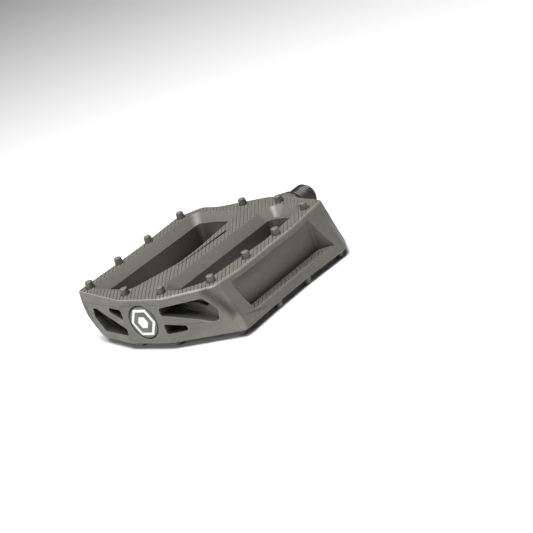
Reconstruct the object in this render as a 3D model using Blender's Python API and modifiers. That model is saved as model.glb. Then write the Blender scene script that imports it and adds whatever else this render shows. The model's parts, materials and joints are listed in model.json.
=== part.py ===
"""Flat bicycle pedal (left), moulded platform on a cup-and-cone spindle.

Frame: the origin is on the spindle's axis, in the plane of the shoulder that seats
on the crank. +X points into the crank, +Z is up, and the platform lies level.
Lengths are in millimetres until they reach Blender, which gets metres.

The platform is unchanged by half a turn about the spindle: whatever is on top near
one long side is underneath near the other. Each feature is therefore made once, for
the top, and copied by turned_over().
"""

import math

import bmesh
import bpy
from mathutils import Matrix, Vector

MM = 0.001
MERGE_DISTANCE = 0.000001  # in metres, when a turned shape's seam is closed

# ---- the platform's overall sizes
HALF_LENGTH = 57.5        # along the spindle
HALF_WIDTH = 52.0         # across the foot
HALF_HEIGHT = 11.7        # tread to axis
SHOULDER_GAP = 13.5       # end of the platform to the crank
MID_X = -(HALF_LENGTH + SHOULDER_GAP)

# ---- the tread
EDGE_CHAMFER = 0.45
FLANGE_THICKNESS = 4.3    # the tread's lip above the pockets, windows and side recess
LIP_OVERLAP = 0.4         # how far a pocket's mouth is cut past the lip's underside
CORNER_STEPS = 5
WALL_LEVELS = 4           # rings of points between the underside and the tread
CUTTER_REACH = 3.0        # how far a cutter starts outside the body's ends
TREAD_CLEARANCE = 1.0     # and above its tread

# ---- traction pins, moulded with the body
PIN_HEIGHT = 3.8
PIN_FOOT_RADIUS = 2.35
PIN_TIP_RADIUS = 1.9
PIN_EDGE = 0.25
PIN_ROOT = 1.0            # sunk into the tread
PIN_SIDES = 20

# ---- bearings
RUNNING_GAP = 0.3
BALL_RADIUS = 1.5875
BALL_COUNT = 10
BALL_PITCH_RADIUS = 6.0
RACE_RADIUS = BALL_RADIUS + RUNNING_GAP
CUP_WALL = 0.6125         # at the race's deepest
CUP_RADIUS = BALL_PITCH_RADIUS + RACE_RADIUS + CUP_WALL
INBOARD_RACE_INSET = 6.5
OUTBOARD_RACE_INSET = 16.5
INBOARD_RACE_X = MID_X + HALF_LENGTH - INBOARD_RACE_INSET
OUTBOARD_RACE_X = MID_X - HALF_LENGTH + OUTBOARD_RACE_INSET
CUP_BACK = 3.6            # ball centre to the cup's back face
CUP_MOUTH = 2.6           # ball centre to the cup's open face
CUP_BORE_CLEARANCE = 1.3  # round the shaft

# ---- the spindle's line through the body
BEARING_BORE = CUP_RADIUS + RUNNING_GAP
CENTRE_BORE = BALL_PITCH_RADIUS + 0.4
CAP_BORE = BEARING_BORE + 0.35
CAP_BORE_DEPTH = 2.2
SPINE_HALF_WIDTH = CAP_BORE + 1.65

# ---- the spindle
RACE_TAIL = 1.2           # ball centre to where the race's cylinder ends
RACE_STEP = 0.4           # length and a quarter of the height of the step after it
SHAFT_RADIUS = BALL_PITCH_RADIUS - RACE_RADIUS - RACE_STEP / 4
SCREWED_END_RADIUS = 3.2
NECK_RADIUS = 6.3
SHOULDER_RADIUS = 8.4
SHOULDER_LENGTH = 2.4
SHOULDER_BEVEL = 0.3
THREAD_RADIUS = 7.14      # 9/16 inch
THREAD_LENGTH = 13.0
THREAD_RUNOUT = 1.2
THREAD_CHAMFER = 1.1
THREAD_RELIEF = 0.5       # depth of the relief between thread and shoulder
UNDERCUT_DEPTH = 0.4      # of the groove that carries the relief into the shoulder
UNDERCUT_REACH = 0.2      # how far the groove clears the thread, so the face seats flat
SCREWED_END_BEVEL = 0.5
SCREWED_END_PAST_NUT = 0.8
HEX_KEY_ACROSS = 6.0
HEX_KEY_DEPTH = 7.0
GROOVE_WIDTH = 2.2
GROOVE_DEPTH = 0.9

# ---- outboard fittings
CONE_LENGTH = 5.2
CONE_NOSE = 0.4
CONE_LIP = 0.4            # how far the cone stands out past the balls' pitch circle
TAB_WASHER = 0.9
NUT_THICKNESS = 3.4
NUT_ACROSS = 11.0
NUT_BEVEL = 0.4
CAP_FACE = 1.5
CAP_DOME = 0.35
CAP_SKIRT = 2.6
CAP_WALL = 1.2
CAP_BEVEL = 0.35

# ---- inboard collar
COLLAR_FOOT_RADIUS = BEARING_BORE + 1.4
COLLAR_TIP_RADIUS = BEARING_BORE + 0.4
COLLAR_SKIRT = 2.4
COLLAR_RIM = 1.2
COLLAR_BEVEL = 0.5
COLLAR_GAP_TO_SHOULDER = 0.4
O_RING_CLEARANCE = 0.1

NYLON = "nylon_charcoal"
CAP_PLASTIC = "cap_plastic"
BLACK_STEEL = "black_steel"
BEARING_STEEL = "bearing_steel"
BRIGHT_STEEL = "bright_steel"
RUBBER = "rubber"
MATERIALS = {
    NYLON: ((0.160, 0.155, 0.140), 0.62, 0.0),
    CAP_PLASTIC: ((0.090, 0.085, 0.075), 0.50, 0.0),
    BLACK_STEEL: ((0.055, 0.053, 0.048), 0.38, 0.85),
    BEARING_STEEL: ((0.46, 0.46, 0.47), 0.28, 1.0),
    BRIGHT_STEEL: ((0.62, 0.62, 0.64), 0.14, 1.0),
    RUBBER: ((0.020, 0.020, 0.020), 0.80, 0.0),
}

# Corners of the tread seen from above, as shares of the half length and half width,
# each with its rounding. Both lists run from the outboard end to the crank end.
FAR_EDGE = [
    (-1.000, 0.240, 3.0), (-0.788, 1.000, 3.0), (-0.300, 0.981, 30.0), (0.090, 0.981, 30.0),
    (0.690, 1.028, 9.0), (0.882, 0.842, 5.0), (0.866, 0.600, 20.0), (1.000, 0.060, 8.0),
]
NEAR_EDGE = [
    (-1.000, -0.280, 3.0), (-0.790, -0.790, 7.0), (-0.480, -0.852, 12.0), (0.313, -0.854, 30.0),
    (0.690, -0.798, 14.0), (0.840, -0.774, 4.0), (0.902, -0.500, 12.0), (1.000, -0.170, 8.0),
]
# Underneath, this one corner of the far edge stands out further than half a turn of the
# near edge would put it, so that the outboard end's far face is flat from top to bottom.
FAR_CORNER_UNDER = (-0.872, 0.775, 3.5)
# Half way down, the outboard corners are drawn in (or, below zero, let out) by this much.
NEAR_CORNER_WAIST = 1.7
FAR_CORNER_WAIST = -2.0

# Mouths of the two pockets in the same shares: corner, rounding, and how far the wall
# that follows the corner leans into the pocket by the bottom of the lip.
FAR_POCKET = [
    (-0.310, 0.085, 14.0, 6.0), (-0.040, 0.083, 30.0, 6.0), (0.545, 0.160, 6.0, 6.0),
    (0.745, 0.190, 8.0, 4.2), (0.775, 0.872, 5.0, 4.2), (-0.748, 0.864, 7.5, 4.2),
    (-0.790, 0.260, 6.0, 5.0),
]
NEAR_POCKET = [
    (0.630, -0.119, 6.0, 4.2), (-0.690, -0.119, 6.0, 4.2), (-0.840, -0.250, 4.0, 4.2),
    (-0.830, -0.420, 5.0, 4.2), (-0.700, -0.604, 6.0, 0.3), (0.070, -0.700, 40.0, 0.3),
    (0.665, -0.630, 7.0, 0.3), (0.785, -0.520, 7.0, 4.2), (0.812, -0.300, 6.0, 4.2),
    (0.790, -0.170, 5.0, 4.2),
]
# Below the lip both pockets widen to this room between the spine and the side's web.
ROOM_OVERLAP = 1.5        # how far a window's cutter runs on into the room, in mm
ROOM_OUTBOARD = -0.755
ROOM_INBOARD = 0.690
WEB_INSIDE = 0.774
WEB_OUTSIDE = 0.830

# The long recess in a side: shares along the platform, then how far its ends lean.
RECESS_FROM = -0.640
RECESS_TO = 0.515
RECESS_LEAN = 0.62
RECESS_TOP = 0.785        # share of the half height
RECESS_ROUNDING = 1.6     # of its upright inner corners
RECESS_MOUTH = 1.12       # the cutter's outer face, past the widest share of the half width

# Windows in the outboard end: (share of half width, share of half height) corners.
BIG_WINDOW = [
    (-0.257, 0.620), (-0.665, 0.630), (-0.775, 0.050), (-0.768, -0.400), (-0.700, -0.410),
    (-0.252, 0.280),
]
SMALL_WINDOW = [(-0.245, -0.100), (-0.456, -0.375), (-0.454, -0.585), (-0.245, -0.590)]
WINDOW_ROUNDING = 1.3
WINDOW_THROUGH = -0.400   # the big window is open to the pocket from here to the middle
WINDOW_WALL = 2.4         # and backed by a wall this thick from here outward
WINDOW_WALL_TOP = [(-0.700, 0.340), (-0.640, 0.160), (-0.570, 0.290), (-0.480, 0.370), (-0.400, 0.360)]
WINDOW_RIM = 0.02         # the opening over the wall stays this far inside the window's outline

# A narrow slot in the spine's tread: shares of length and width, half widths in mm.
SLOT_FROM = (-0.375, 0.044)
SLOT_TO = (0.315, 0.010)
SLOT_HALF_WIDTHS = (0.35, 1.15)
SLOT_DEPTH = 2.4

# The tread's pins, as shares of the half length and half width.
PINS = [
    (-0.722, 0.877), (-0.270, 0.926), (0.158, 0.928), (0.650, 0.938),
    (0.858, 0.262), (0.860, -0.218),
    (0.661, -0.700), (0.155, -0.760), (-0.282, -0.760), (-0.706, -0.700),
    (-0.882, -0.235), (-0.882, 0.235),
]


# ---------------------------------------------------------------- scene and materials

def clear_scene():
    for obj in list(bpy.data.objects):
        bpy.data.objects.remove(obj, do_unlink=True)
    for group in list(bpy.data.collections):
        bpy.data.collections.remove(group)


def new_collection(name):
    group = bpy.data.collections.new(name)
    bpy.context.scene.collection.children.link(group)
    return group


def make_material(name):
    colour, roughness, metallic = MATERIALS[name]
    material = bpy.data.materials.new(name)
    material.use_nodes = True
    shader = material.node_tree.nodes["Principled BSDF"]
    shader.inputs["Base Color"].default_value = (*colour, 1.0)
    shader.inputs["Roughness"].default_value = roughness
    shader.inputs["Metallic"].default_value = metallic
    material.diffuse_color = (*colour, 1.0)
    return material


def add_object(name, mesh, group):
    obj = bpy.data.objects.new(name, mesh)
    group.objects.link(obj)
    return obj


def add_part(name, mesh, material_name):
    obj = add_object(name, mesh, PARTS)
    mesh.materials.clear()
    mesh.materials.append(MATERIAL[material_name])
    return obj


def add_cutter(name, mesh):
    obj = add_object(name, mesh, CUTTERS)
    obj.hide_render = True
    obj.display_type = "WIRE"
    return obj


def round_shading(obj, degrees=35.0):
    obj.data.shade_smooth()
    obj.data.set_sharp_from_angle(angle=math.radians(degrees))


# ---------------------------------------------------------------- outlines

def in_mm(share_x, share_y):
    return share_x * HALF_LENGTH, share_y * HALF_WIDTH


def rounded(corners, steps=CORNER_STEPS):
    """The closed outline through corners (x, y, radius), each corner an arc."""
    points = []
    count = len(corners)
    for index in range(count):
        here = Vector(corners[index][:2])
        back = Vector(corners[index - 1][:2]) - here
        ahead = Vector(corners[(index + 1) % count][:2]) - here
        half_turn = (math.pi - back.angle(ahead)) / 2
        reach = corners[index][2] * math.tan(half_turn)
        reach = min(reach, 0.45 * back.length, 0.45 * ahead.length)
        start = here + back.normalized() * reach
        end = here + ahead.normalized() * reach
        for step in range(steps + 1):
            t = step / steps
            points.append(start * (1 - t) ** 2 + here * 2 * t * (1 - t) + end * t ** 2)
    return points


def moved_edges(corners, distances):
    """The corners after each edge has moved inward by its own distance.

    Edge number k runs from corner k to the next; the outline runs anticlockwise.
    """
    count = len(corners)
    lines = []
    for index in range(count):
        start = Vector(corners[index][:2])
        along = (Vector(corners[(index + 1) % count][:2]) - start).normalized()
        inward = Vector((-along.y, along.x))
        lines.append((start + inward * distances[index], along))
    result = []
    for index in range(count):
        point_a, along_a = lines[index - 1]
        point_b, along_b = lines[index]
        across = along_a.x * along_b.y - along_a.y * along_b.x
        gap = point_b - point_a
        share = (gap.x * along_b.y - gap.y * along_b.x) / across
        meeting = point_a + along_a * share
        result.append((meeting.x, meeting.y, corners[index][2]))
    return result


def inset(points, distance):
    """A dense outline moved inward, point by point; it runs anticlockwise."""
    result = []
    count = len(points)
    for index in range(count):
        along = points[(index + 1) % count] - points[index - 1]
        inward = Vector((-along.y, along.x)).normalized()
        result.append(points[index] + inward * distance)
    return result


def level_ring(points, z):
    return [Vector((MID_X + point.x, point.y, z)) for point in points]


# ---------------------------------------------------------------- solids

def mesh_from(bm, name):
    bmesh.ops.recalc_face_normals(bm, faces=bm.faces)
    mesh = bpy.data.meshes.new(name)
    bm.to_mesh(mesh)
    bm.free()
    mesh.transform(Matrix.Scale(MM, 4))
    return mesh


def loft(name, rings):
    """A closed solid through rings of points (all the same count), in millimetres."""
    bm = bmesh.new()
    loops = [[bm.verts.new(point) for point in ring] for ring in rings]
    for low, high in zip(loops, loops[1:]):
        for index in range(len(low)):
            follow = (index + 1) % len(low)
            bm.faces.new((low[index], low[follow], high[follow], high[index]))
    bm.faces.new(list(reversed(loops[0])))
    bm.faces.new(loops[-1])
    return mesh_from(bm, name)


def lathe(name, profile, steps=40):
    """Turns a closed profile of (x, radius) points about the spindle's axis with a Screw modifier."""
    bm = bmesh.new()
    points = [bm.verts.new((x, 0.0, radius)) for x, radius in profile]
    for index in range(len(points)):
        start, end = points[index - 1], points[index]
        if start.co.z > 0.0 or end.co.z > 0.0:
            bm.edges.new((start, end))
    outline = add_cutter("profile_" + name, mesh_from(bm, name))
    screw = outline.modifiers.new("turn", "SCREW")
    screw.axis = "X"
    screw.angle = 2 * math.pi
    screw.steps = screw.render_steps = steps
    screw.use_merge_vertices = True
    screw.merge_threshold = MERGE_DISTANCE
    settle(outline)
    mesh = outline.data
    bpy.data.objects.remove(outline)
    bm = bmesh.new()
    bm.from_mesh(mesh)
    bmesh.ops.remove_doubles(bm, verts=bm.verts, dist=MERGE_DISTANCE)
    bmesh.ops.recalc_face_normals(bm, faces=bm.faces)
    bm.to_mesh(mesh)
    bm.free()
    return mesh


def hexagon_bar(name, across_flats, from_x, to_x, bevel=0.0):
    """A hexagonal bar along the spindle's axis; a bevel breaks the edges of its from_x end."""
    bm = bmesh.new()
    middle = Matrix.Translation(((from_x + to_x) / 2, 0.0, 0.0)) @ Matrix.Rotation(math.pi / 2, 4, "Y")
    radius = across_flats / math.sqrt(3)
    bmesh.ops.create_cone(
        bm, cap_ends=True, segments=6, radius1=radius, radius2=radius, depth=to_x - from_x, matrix=middle
    )
    if bevel:
        rim = [edge for edge in bm.edges if all(vert.co.x < (from_x + to_x) / 2 for vert in edge.verts)]
        bmesh.ops.bevel(bm, geom=rim, offset=bevel, segments=1, affect="EDGES")
    return mesh_from(bm, name)


def turned_over(mesh):
    """A copy of the mesh after half a turn about the spindle."""
    copy = mesh.copy()
    copy.transform(Matrix.Rotation(math.pi, 4, "X"))
    return copy


def boolean(target, tool, operation):
    modifier = target.modifiers.new(operation.lower() + "_" + tool.name, "BOOLEAN")
    modifier.operation = operation
    modifier.solver = "EXACT"
    modifier.object = tool


def settle(obj):
    """Replaces the object's mesh by what its modifiers make of it."""
    graph = bpy.context.evaluated_depsgraph_get()
    mesh = bpy.data.meshes.new_from_object(obj.evaluated_get(graph))
    obj.modifiers.clear()
    obj.data = mesh


def arc(centre_x, centre_r, radius, from_degrees, to_degrees, steps=6):
    """Points (x, radius) on an arc; 0 degrees points at the crank, 90 outward."""
    points = []
    for step in range(steps + 1):
        angle = math.radians(from_degrees + (to_degrees - from_degrees) * step / steps)
        points.append((centre_x + radius * math.cos(angle), centre_r + radius * math.sin(angle)))
    return points


# ---------------------------------------------------------------- the body

def tread_outline():
    """The tread seen from above, anticlockwise, the far edge's corners paired with the near's."""
    corners = [(*in_mm(x, y), r) for x, y, r in NEAR_EDGE]
    corners += [(*in_mm(x, y), r) for x, y, r in reversed(FAR_EDGE)]
    return rounded(corners)


def under_outline():
    """The underside's outline, half a turn of the tread's, in the order that pairs with it."""
    corners = [(*in_mm(x, -y), r) for x, y, r in FAR_EDGE]
    far = [(*in_mm(x, -y), r) for x, y, r in NEAR_EDGE]
    far[1] = (*in_mm(*FAR_CORNER_UNDER[:2]), FAR_CORNER_UNDER[2])
    return rounded(corners + far[::-1])


def waisted(points, amount):
    """Draws the near outboard corner in, and lets the far one out, by a share of its waist."""
    corner_points = CORNER_STEPS + 1
    drawn_in = inset(points, 1.0)
    result = list(points)
    for corner, waist in ((1, NEAR_CORNER_WAIST), (len(NEAR_EDGE) + len(FAR_EDGE) - 2, FAR_CORNER_WAIST)):
        for step in range(corner_points):
            index = corner * corner_points + step
            swell = math.sin(math.pi * (step + 1) / (corner_points + 1))
            result[index] = points[index].lerp(drawn_in[index], waist * amount * swell)
    return result


def body_block():
    top = tread_outline()
    under = under_outline()
    rings = [level_ring(inset(under, EDGE_CHAMFER), -HALF_HEIGHT)]
    lowest = -HALF_HEIGHT + EDGE_CHAMFER
    for level in range(WALL_LEVELS + 1):
        rise = level / WALL_LEVELS
        z = lowest * (1 - 2 * rise)
        share = (z + HALF_HEIGHT) / (2 * HALF_HEIGHT)
        between = [low.lerp(high, share) for low, high in zip(under, top)]
        rings.append(level_ring(waisted(between, math.sin(math.pi * rise)), z))
    rings.append(level_ring(inset(top, EDGE_CHAMFER), HALF_HEIGHT))
    return loft("pedal_body", rings)


def anticlockwise(corners):
    area = 0.0
    for index in range(len(corners)):
        x, y = corners[index - 1][:2]
        other_x, other_y = corners[index][:2]
        area += x * other_y - other_x * y
    if area > 0:
        return corners
    return reversed_edges(corners)


def reversed_edges(corners):
    """The outline run the other way, each leaning distance kept with its own edge."""
    count = len(corners)
    result = []
    for index in range(count):
        corner = corners[-1 - index]
        following_edge = corners[(-2 - index) % count]
        result.append((corner[0], corner[1], corner[2], following_edge[3]))
    return result


def pocket_mouth(name, shares):
    """The tread's opening, leaning in to the bottom of the lip."""
    corners = anticlockwise([(*in_mm(x, y), r, lean) for x, y, r, lean in shares])
    leans = [corner[3] for corner in corners]
    mouth = [corner[:3] for corner in corners]
    further = 1.0 + LIP_OVERLAP / FLANGE_THICKNESS
    higher = -TREAD_CLEARANCE / FLANGE_THICKNESS
    throat = moved_edges(mouth, [lean * further for lean in leans])
    wider = moved_edges(mouth, [lean * higher for lean in leans])
    rings = [
        level_ring(rounded(throat), HALF_HEIGHT - FLANGE_THICKNESS - LIP_OVERLAP),
        level_ring(rounded(wider), HALF_HEIGHT + TREAD_CLEARANCE),
    ]
    return loft(name, rings)


def pocket_room():
    """The far pocket's space between the upper and the lower lip."""
    low_y = SPINE_HALF_WIDTH
    high_y = WEB_INSIDE * HALF_WIDTH
    low_x = ROOM_OUTBOARD * HALF_LENGTH
    high_x = ROOM_INBOARD * HALF_LENGTH
    corners = [(low_x, low_y, 5.0), (high_x, low_y, 5.0), (high_x, high_y, 3.5), (low_x, high_y, 3.5)]
    lip = HALF_HEIGHT - FLANGE_THICKNESS
    ring = rounded(corners)
    return loft("pocket_room", [level_ring(ring, -lip), level_ring(ring, lip)])


def side_recess():
    """The near side's recess: an upright web behind, the lower lip as a ledge."""
    web = -WEB_OUTSIDE * HALF_WIDTH
    outside = -RECESS_MOUTH * HALF_WIDTH
    lean = RECESS_LEAN * (web - outside)
    low_x = RECESS_FROM * HALF_LENGTH
    high_x = RECESS_TO * HALF_LENGTH
    corners = [(low_x, web), (low_x + lean, outside), (high_x + lean, outside), (high_x, web)]
    corners = [(x, y, RECESS_ROUNDING) for x, y in corners]
    ring = rounded(corners)
    ledge = -(HALF_HEIGHT - FLANGE_THICKNESS)
    return loft("side_recess", [level_ring(ring, ledge), level_ring(ring, RECESS_TOP * HALF_HEIGHT)])


def window(name, shares, depth_past_room):
    corners = [(y * HALF_WIDTH, z * HALF_HEIGHT, WINDOW_ROUNDING) for y, z in shares]
    outline = rounded(corners, 4)
    from_x = MID_X - HALF_LENGTH - CUTTER_REACH
    to_x = MID_X + ROOM_OUTBOARD * HALF_LENGTH + depth_past_room
    rings = [[Vector((x, point.x, point.y)) for point in outline] for x in (from_x, to_x)]
    return loft(name, rings)


def big_window_through():
    """The part of the big window's outline that opens into the pocket: beside its wall and over it."""
    upper, upper_outer = BIG_WINDOW[:2]
    lower_outer, lower = BIG_WINDOW[-2:]
    share = (WINDOW_THROUGH - lower[0]) / (lower_outer[0] - lower[0])
    foot = lower[1] + (lower_outer[1] - lower[1]) * share
    shares = [(upper[0] - WINDOW_RIM, upper[1] - WINDOW_RIM)]
    shares += [(upper_outer[0] + WINDOW_RIM, upper_outer[1] - WINDOW_RIM)]
    shares += WINDOW_WALL_TOP
    shares += [(WINDOW_THROUGH, foot + WINDOW_RIM), (lower[0] - WINDOW_RIM, lower[1] + WINDOW_RIM)]
    return window("big_window_through", shares, ROOM_OVERLAP)


def spine_slot():
    start = Vector(in_mm(*SLOT_FROM))
    end = Vector(in_mm(*SLOT_TO))
    along = (end - start).normalized()
    side = Vector((-along.y, along.x))
    narrow, wide = SLOT_HALF_WIDTHS
    corners = [start + side * narrow, start - side * narrow, end - side * wide, end + side * wide]
    ring = rounded([(corner.x, corner.y, narrow * 0.8) for corner in corners], 3)
    levels = (HALF_HEIGHT - SLOT_DEPTH, HALF_HEIGHT + TREAD_CLEARANCE)
    return loft("spine_slot", [level_ring(ring, z) for z in levels])


def spindle_bore():
    """One turned cutter: cap seat, outboard bore, centre bore, inboard bore."""
    outboard_end = MID_X - HALF_LENGTH
    inboard_end = MID_X + HALF_LENGTH
    outboard_step = OUTBOARD_RACE_X + CUP_BACK + RUNNING_GAP
    inboard_step = INBOARD_RACE_X - CUP_BACK - RUNNING_GAP
    profile = [
        (outboard_end - CUTTER_REACH, 0.0), (outboard_end - CUTTER_REACH, CAP_BORE),
        (outboard_end + CAP_BORE_DEPTH, CAP_BORE), (outboard_end + CAP_BORE_DEPTH, BEARING_BORE),
        (outboard_step, BEARING_BORE), (outboard_step, CENTRE_BORE),
        (inboard_step, CENTRE_BORE), (inboard_step, BEARING_BORE),
        (inboard_end + CUTTER_REACH, BEARING_BORE), (inboard_end + CUTTER_REACH, 0.0),
    ]
    return lathe("spindle_bore", profile, 56)


def pin_mesh(share_x, share_y):
    """One tapered pin on the tread, its root sunk into the body and its rim bevelled."""
    x, y = in_mm(share_x, share_y)
    taper = (PIN_FOOT_RADIUS - PIN_TIP_RADIUS) / PIN_HEIGHT
    length = PIN_ROOT + PIN_HEIGHT
    middle = Vector((MID_X + x, y, HALF_HEIGHT - PIN_ROOT + length / 2))
    bm = bmesh.new()
    bmesh.ops.create_cone(
        bm, cap_ends=True, segments=PIN_SIDES, radius1=PIN_FOOT_RADIUS + taper * PIN_ROOT,
        radius2=PIN_TIP_RADIUS, depth=length, matrix=Matrix.Translation(middle),
    )
    rim = [edge for edge in bm.edges if all(vert.co.z > middle.z for vert in edge.verts)]
    bmesh.ops.bevel(bm, geom=rim, offset=PIN_EDGE, segments=1, affect="EDGES")
    return mesh_from(bm, "pin")


def make_body():
    body = add_part("pedal_body", body_block(), NYLON)
    top_features = [
        ("far_pocket_mouth", pocket_mouth("far_pocket_mouth", FAR_POCKET)),
        ("near_pocket_mouth", pocket_mouth("near_pocket_mouth", NEAR_POCKET)),
        ("pocket_room", pocket_room()),
        ("side_recess", side_recess()),
        ("big_window", window("big_window", BIG_WINDOW, -WINDOW_WALL)),
        ("big_window_through", big_window_through()),
        ("small_window", window("small_window", SMALL_WINDOW, ROOM_OVERLAP)),
        ("spine_slot", spine_slot()),
    ]
    for name, mesh in top_features:
        boolean(body, add_cutter("cut_" + name, mesh), "DIFFERENCE")
        boolean(body, add_cutter("cut_" + name + "_under", turned_over(mesh)), "DIFFERENCE")
    boolean(body, add_cutter("cut_spindle_bore", spindle_bore()), "DIFFERENCE")
    for number, (share_x, share_y) in enumerate(PINS, start=1):
        mesh = pin_mesh(share_x, share_y)
        boolean(body, add_cutter(f"pin_{number:02d}_top", mesh), "UNION")
        boolean(body, add_cutter(f"pin_{number:02d}_under", turned_over(mesh)), "UNION")
    settle(body)
    round_shading(body, 28.0)
    return body


# ---------------------------------------------------------------- bearings

def race_x(side):
    return {1: INBOARD_RACE_X, -1: OUTBOARD_RACE_X}[side]


def make_cup(name, side):
    """A pressed-in cup; side is +1 inboard, -1 outboard, and points out of the body."""
    centre = race_x(side)
    race = arc(0.0, BALL_PITCH_RADIUS, RACE_RADIUS, 90.0, 180.0)
    race_foot = (-RACE_RADIUS, SHAFT_RADIUS + CUP_BORE_CLEARANCE)
    shape = [(CUP_MOUTH, CUP_RADIUS), (CUP_MOUTH, BALL_PITCH_RADIUS + RACE_RADIUS)]
    shape += race
    shape += [race_foot, (-CUP_BACK, race_foot[1]), (-CUP_BACK, CUP_RADIUS)]
    profile = [(centre + side * x, radius) for x, radius in shape]
    cup = add_part(name, lathe(name, profile), BEARING_STEEL)
    round_shading(cup)
    return cup


def ball_mesh():
    bm = bmesh.new()
    bmesh.ops.create_uvsphere(bm, u_segments=12, v_segments=8, radius=BALL_RADIUS)
    return mesh_from(bm, "bearing_ball")


def make_balls(prefix, side):
    """A ring of balls, each its own object whose origin lies on the spindle's axis."""
    pattern = ball_mesh()
    for number in range(BALL_COUNT):
        angle = 2 * math.pi * number / BALL_COUNT
        mesh = pattern.copy()
        across, up = BALL_PITCH_RADIUS * math.cos(angle), BALL_PITCH_RADIUS * math.sin(angle)
        place = Vector((race_x(side), across, up))
        mesh.transform(Matrix.Translation(place * MM))
        ball = add_part(f"{prefix}_ball_{number + 1:02d}", mesh, BRIGHT_STEEL)
        ball.data.shade_smooth()


# ---------------------------------------------------------------- spindle and its fittings

def cone_end_x():
    return OUTBOARD_RACE_X - CONE_LENGTH


def washer_end_x():
    return cone_end_x() - RUNNING_GAP - TAB_WASHER


def nut_end_x():
    return washer_end_x() - RUNNING_GAP - NUT_THICKNESS


def collar_tip_x():
    return -SHOULDER_LENGTH - COLLAR_GAP_TO_SHOULDER


def groove_x():
    return (MID_X + HALF_LENGTH + collar_tip_x()) / 2


def make_spindle():
    """Thread, undercut shoulder, neck with a groove, ground race, shaft and screwed end."""
    race = arc(INBOARD_RACE_X, BALL_PITCH_RADIUS, RACE_RADIUS, 0.0, -90.0)
    groove_floor = NECK_RADIUS - GROOVE_DEPTH
    step_x = OUTBOARD_RACE_X + CONE_NOSE + RUNNING_GAP
    end_x = nut_end_x() - SCREWED_END_PAST_NUT
    neck_foot = INBOARD_RACE_X + RACE_RADIUS
    profile = [
        (THREAD_LENGTH, 0.0), (THREAD_LENGTH, THREAD_RADIUS - THREAD_CHAMFER),
        (THREAD_LENGTH - THREAD_CHAMFER, THREAD_RADIUS), (THREAD_RUNOUT, THREAD_RADIUS),
        (THREAD_RUNOUT, THREAD_RADIUS - THREAD_RELIEF), (-UNDERCUT_DEPTH, THREAD_RADIUS - THREAD_RELIEF),
        (-UNDERCUT_DEPTH, THREAD_RADIUS + UNDERCUT_REACH), (0.0, THREAD_RADIUS + UNDERCUT_REACH),
        (0.0, SHOULDER_RADIUS - SHOULDER_BEVEL), (-SHOULDER_BEVEL, SHOULDER_RADIUS),
        (-SHOULDER_LENGTH, SHOULDER_RADIUS), (-SHOULDER_LENGTH, NECK_RADIUS),
        (groove_x() + GROOVE_WIDTH / 2, NECK_RADIUS), (groove_x() + GROOVE_WIDTH / 2, groove_floor),
        (groove_x() - GROOVE_WIDTH / 2, groove_floor), (groove_x() - GROOVE_WIDTH / 2, NECK_RADIUS),
        (neck_foot, NECK_RADIUS),
    ]
    profile += race
    profile += [
        (INBOARD_RACE_X - RACE_TAIL, BALL_PITCH_RADIUS - RACE_RADIUS),
        (INBOARD_RACE_X - RACE_TAIL - RACE_STEP, SHAFT_RADIUS),
        (step_x, SHAFT_RADIUS), (step_x, SCREWED_END_RADIUS),
        (end_x + SCREWED_END_BEVEL, SCREWED_END_RADIUS), (end_x, SCREWED_END_RADIUS - SCREWED_END_BEVEL),
        (end_x, 0.0),
    ]
    spindle = add_part("spindle", lathe("spindle", profile), BLACK_STEEL)
    key_end = THREAD_LENGTH - HEX_KEY_DEPTH
    key = hexagon_bar("cut_hex_key", HEX_KEY_ACROSS, key_end, THREAD_LENGTH + CUTTER_REACH)
    boolean(spindle, add_cutter("cut_hex_key", key), "DIFFERENCE")
    settle(spindle)
    round_shading(spindle)
    return spindle


def make_cone():
    inner = SCREWED_END_RADIUS + RUNNING_GAP
    race = arc(OUTBOARD_RACE_X, BALL_PITCH_RADIUS, RACE_RADIUS, -90.0, -180.0)
    nose = OUTBOARD_RACE_X + CONE_NOSE
    flat = OUTBOARD_RACE_X - RACE_RADIUS
    profile = [(nose, inner), (nose, BALL_PITCH_RADIUS - RACE_RADIUS)]
    profile += race
    outer = BALL_PITCH_RADIUS + CONE_LIP
    profile += [(flat, outer), (cone_end_x(), outer), (cone_end_x(), inner)]
    cone = add_part("adjusting_cone", lathe("adjusting_cone", profile), BEARING_STEEL)
    round_shading(cone)
    return cone


def make_tab_washer():
    inner = SCREWED_END_RADIUS + RUNNING_GAP
    outer = NUT_ACROSS / 2
    start = cone_end_x() - RUNNING_GAP
    profile = [(start, inner), (start, outer), (washer_end_x(), outer), (washer_end_x(), inner)]
    washer = add_part("tab_washer", lathe("tab_washer", profile), BRIGHT_STEEL)
    round_shading(washer)
    return washer


def make_lock_nut():
    inner = SCREWED_END_RADIUS + RUNNING_GAP
    start = washer_end_x() - RUNNING_GAP
    hexagon = hexagon_bar("lock_nut", NUT_ACROSS, nut_end_x(), start, NUT_BEVEL)
    nut = add_part("lock_nut", hexagon, BRIGHT_STEEL)
    from_x = nut_end_x() - CUTTER_REACH
    to_x = start + CUTTER_REACH
    hole = [(from_x, 0.0), (from_x, inner), (to_x, inner), (to_x, 0.0)]
    boolean(nut, add_cutter("cut_nut_hole", lathe("cut_nut_hole", hole)), "DIFFERENCE")
    settle(nut)
    round_shading(nut)
    return nut


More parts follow.
